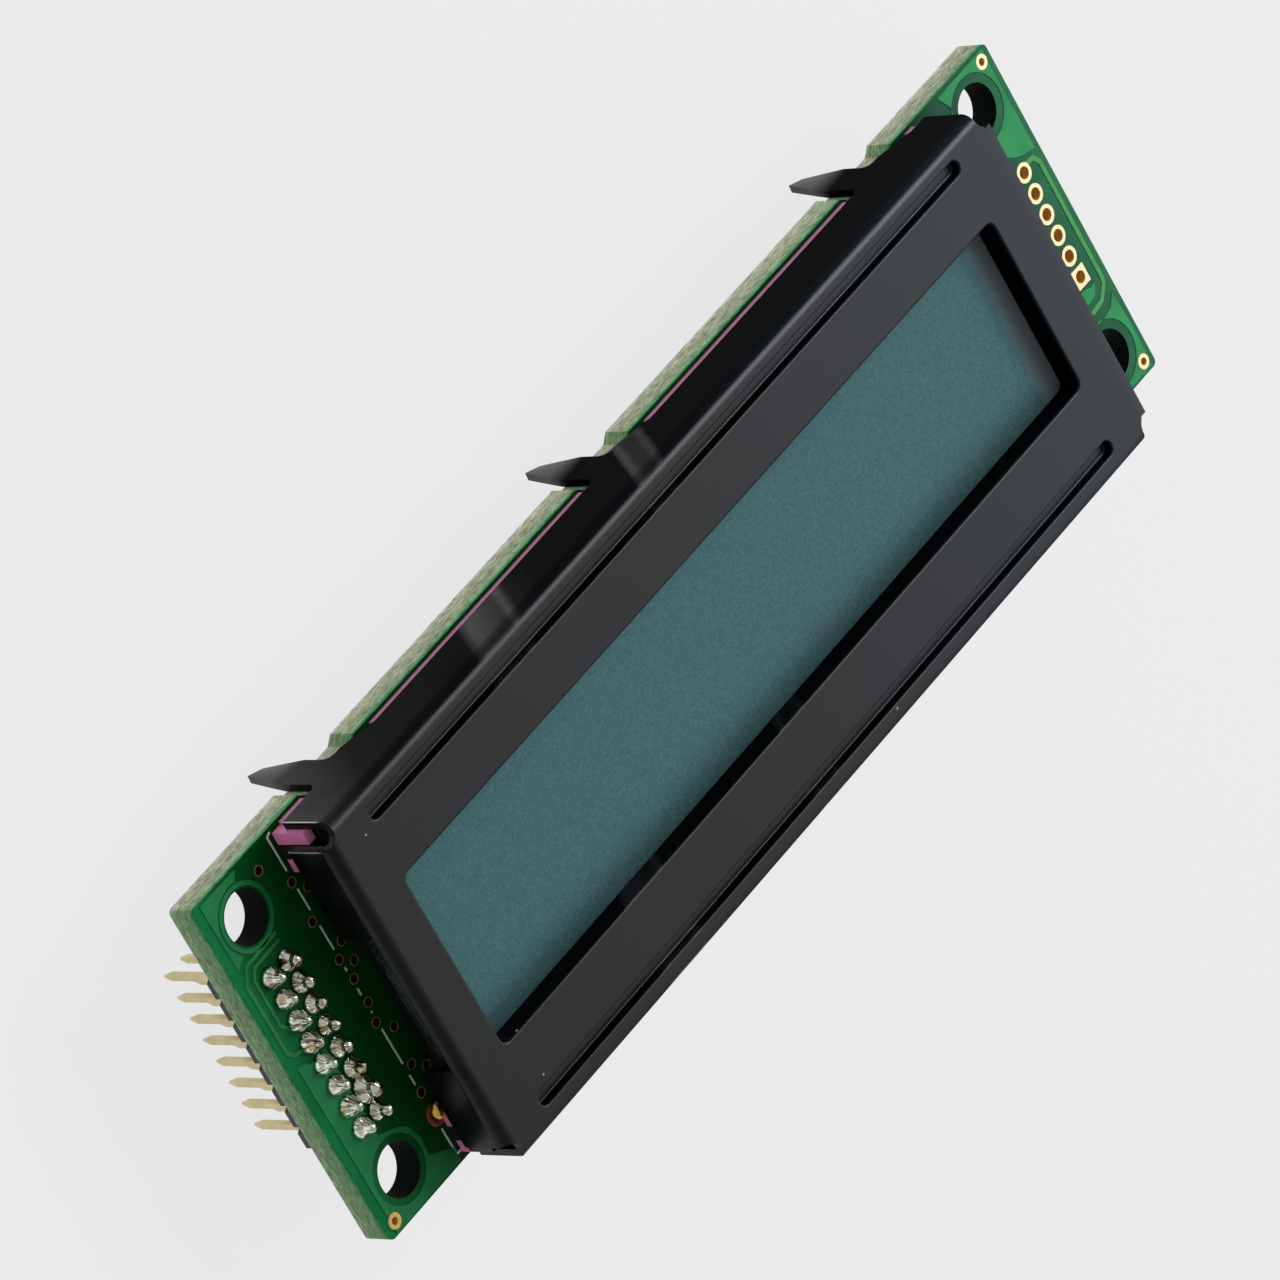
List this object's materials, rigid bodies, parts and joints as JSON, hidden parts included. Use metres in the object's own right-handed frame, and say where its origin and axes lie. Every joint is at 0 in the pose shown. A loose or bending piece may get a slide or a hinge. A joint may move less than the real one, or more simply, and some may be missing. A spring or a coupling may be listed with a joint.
{
  "type": "character lcd module",
  "caption": "Reflective character display on a green circuit board: a liquid-crystal cell under a folded black sheet bezel, with a two-row pin header at one end.",
  "frame": {"origin": "centre of the board's display side, which is the centre of the four fixing holes", "axes": "+X along the board from the pin header to the open pads, +Y across the board, +Z out of the display"},
  "size_m": [0.0666, 0.02, 0.0109],
  "materials": {
    "board_laminate": "glossy green solder mask over glass fibre laminate",
    "bezel_sheet": "satin black lacquer on folded sheet",
    "polarizer_film": "matt teal film with a fine grain",
    "cell_glass": "clear polished glass",
    "rear_film": "grey-green film",
    "reflector": "satin metallised film",
    "black_plastic": "matt black moulding",
    "seal_glue": "clear cured glue",
    "pink_rubber": "satin pink silicone",
    "black_rubber": "matt black silicone with carbon layers",
    "pin_metal": "gold flashed",
    "solder": "bright solder",
    "gold_pad": "gold plated copper",
    "via_copper": "copper under solder mask",
    "epoxy": "black epoxy",
    "chip_ceramic": "dark ceramic chip",
    "capacitor_ceramic": "tan ceramic chip"
  },
  "bodies": {
    "root": {"circuit_board": "board_laminate", "bezel": "bezel_sheet", "front_polarizer": "polarizer_film", "front_glass": "cell_glass", "rear_glass": "cell_glass", "rear_polarizer": "rear_film", "reflector_film": "reflector", "display_frame": "black_plastic", "cell_end_seal": "seal_glue", "contact_rubber_left": "pink_rubber", "contact_rubber_right": "pink_rubber", "contact_core_left": "black_rubber", "contact_core_right": "black_rubber", "header_housing": "black_plastic", "header_pin_01": "pin_metal", "header_pin_02": "pin_metal", "header_pin_03": "pin_metal", "header_pin_04": "pin_metal", "header_pin_05": "pin_metal", "header_pin_06": "pin_metal", "header_pin_07": "pin_metal", "header_pin_08": "pin_metal", "header_pin_09": "pin_metal", "header_pin_10": "pin_metal", "header_pin_11": "pin_metal", "header_pin_12": "pin_metal", "header_pin_13": "pin_metal", "header_pin_14": "pin_metal", "header_pin_15": "pin_metal", "header_pin_16": "pin_metal", "solder_joint_01": "solder", "solder_joint_02": "solder", "solder_joint_03": "solder", "solder_joint_04": "solder", "solder_joint_05": "solder", "solder_joint_06": "solder", "solder_joint_07": "solder", "solder_joint_08": "solder", "solder_joint_09": "solder", "solder_joint_10": "solder", "solder_joint_11": "solder", "solder_joint_12": "solder", "solder_joint_13": "solder", "solder_joint_14": "solder", "solder_joint_15": "solder", "solder_joint_16": "solder", "pad_sleeve_1": "gold_pad", "pad_sleeve_2": "gold_pad", "pad_sleeve_3": "gold_pad", "pad_sleeve_4": "gold_pad", "pad_sleeve_5": "gold_pad", "pad_sleeve_6": "gold_pad", "tooling_sleeves": "gold_pad", "via_sleeves": "via_copper", "solder_bead": "solder", "driver_cover_1": "epoxy", "driver_cover_2": "epoxy", "bias_resistors": "chip_ceramic", "supply_capacitor": "capacitor_ceramic"}
  },
  "joints": []
}
